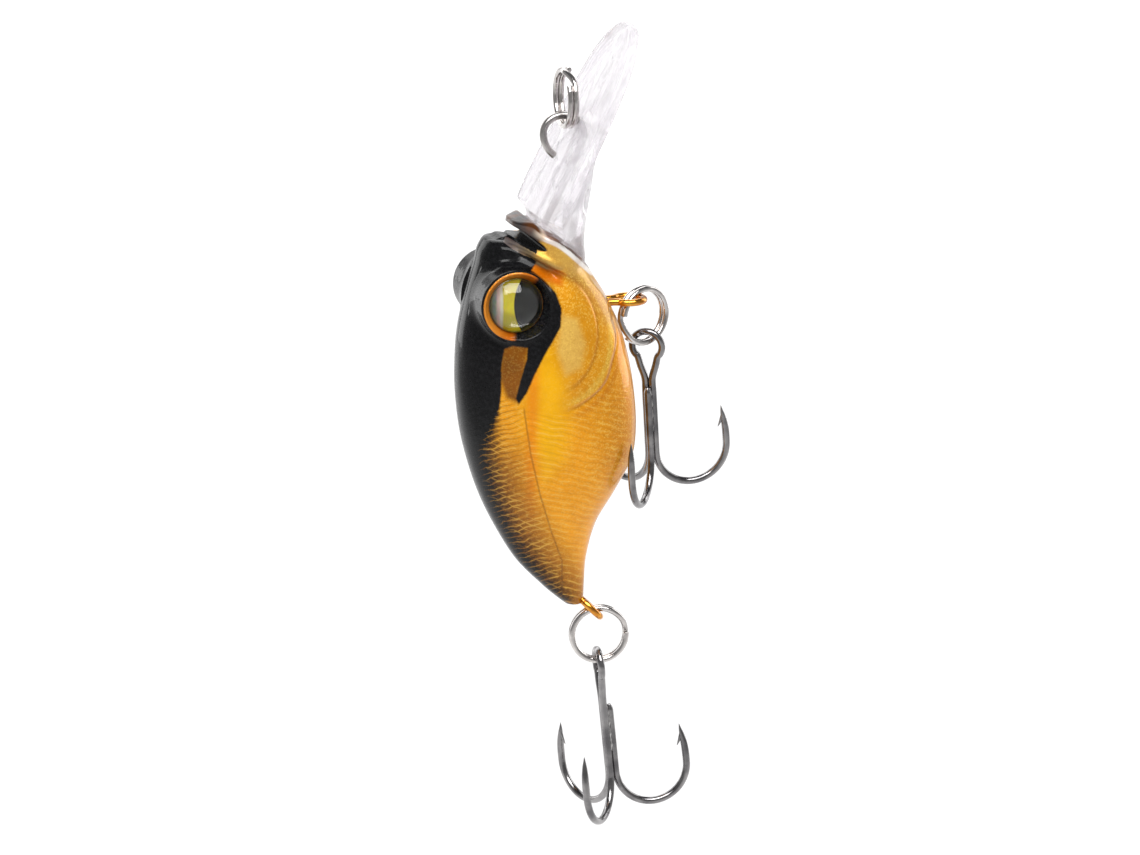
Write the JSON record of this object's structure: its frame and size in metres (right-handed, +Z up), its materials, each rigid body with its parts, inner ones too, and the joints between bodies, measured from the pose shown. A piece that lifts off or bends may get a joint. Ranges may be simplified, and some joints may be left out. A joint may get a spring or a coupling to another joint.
{
  "type": "crankbait lure",
  "caption": "Fat-bodied diving crankbait lure with a clear lip, domed eyes, wire hangers, split rings and two treble hooks, hanging nose up from its line ring.",
  "frame": {"origin": "centre of the line split ring at the lure's nose, which the line holds", "axes": "+Z up, towards the nose; +X towards the belly side; -X towards the back; Y across the lure, -Y its right side"},
  "size_m": [0.0283, 0.0162, 0.0797],
  "materials": {
    "nickel_ring": "bright nickel plate",
    "body_right": "clear-coated gold sides with a black back",
    "body_left": "clear-coated gold sides with a black back",
    "clear_lip": "clear polished polycarbonate",
    "tie_steel": "bare stainless wire",
    "gold_wire": "gold lacquer over steel wire",
    "eye_foil": "printed holographic foil",
    "eye_lens": "clear dome",
    "weight_metal": "plain turned weight",
    "ball_steel": "polished ball",
    "hook_steel": "black nickel",
    "braze_metal": "plated braze"
  },
  "bodies": {
    "line_ring": {"line_split_ring": "nickel_ring"},
    "lure_body": {"diving_lip": "clear_lip", "line_tie_wire": "tie_steel", "body_shell_right": "body_right", "body_shell_left": "body_left", "right_eye_foil": "eye_foil", "right_eye_lens": "eye_lens", "left_eye_foil": "eye_foil", "left_eye_lens": "eye_lens", "belly_hanger_wire": "gold_wire", "tail_hanger_wire": "gold_wire", "belly_weight": "weight_metal"},
    "rattle_back": {"rattle_ball_back": "ball_steel"},
    "rattle_middle": {"rattle_ball_middle": "ball_steel"},
    "belly_ring": {"belly_split_ring": "nickel_ring"},
    "belly_hook": {"belly_hook_double": "hook_steel", "belly_hook_single": "hook_steel", "belly_hook_braze": "braze_metal"},
    "tail_ring": {"tail_split_ring": "nickel_ring"},
    "tail_hook": {"tail_hook_double": "hook_steel", "tail_hook_single": "hook_steel", "tail_hook_braze": "braze_metal"}
  },
  "joints": [
    {"name": "line_swing", "type": "hinge", "parent": "line_ring", "child": "lure_body", "pos_m": [0, 0, 0], "axis": [1, 0, 0], "range_deg": [-60, 60]},
    {"name": "belly_ring_swing", "type": "hinge", "parent": "lure_body", "child": "belly_ring", "pos_m": [0.00767, 0.00061, -0.0202], "axis": [0.4067, -0.9135, 0], "range_deg": [0, 75]},
    {"name": "belly_hook_swing", "type": "hinge", "parent": "belly_ring", "child": "belly_hook", "pos_m": [0.00805, 0.0008, -0.0221], "axis": [0.4067, -0.9135, 0], "range_deg": [0, 60]},
    {"name": "tail_ring_swing", "type": "hinge", "parent": "lure_body", "child": "tail_ring", "pos_m": [0.00339, 0, -0.05204], "axis": [-0.1392, -0.9903, 0], "range_deg": [-30, 70]},
    {"name": "tail_hook_swing", "type": "hinge", "parent": "tail_ring", "child": "tail_hook", "pos_m": [0.00335, 0, -0.05658], "axis": [0.9903, -0.1392, 0], "range_deg": [-45, 45]},
    {"name": "rattle_back_roll", "type": "slide", "parent": "lure_body", "child": "rattle_back", "axis": [0, 0, 1], "range_m": [0, 0.005]},
    {"name": "rattle_middle_roll", "type": "slide", "parent": "lure_body", "child": "rattle_middle", "axis": [0, 0, 1], "range_m": [0, 0.005]}
  ]
}
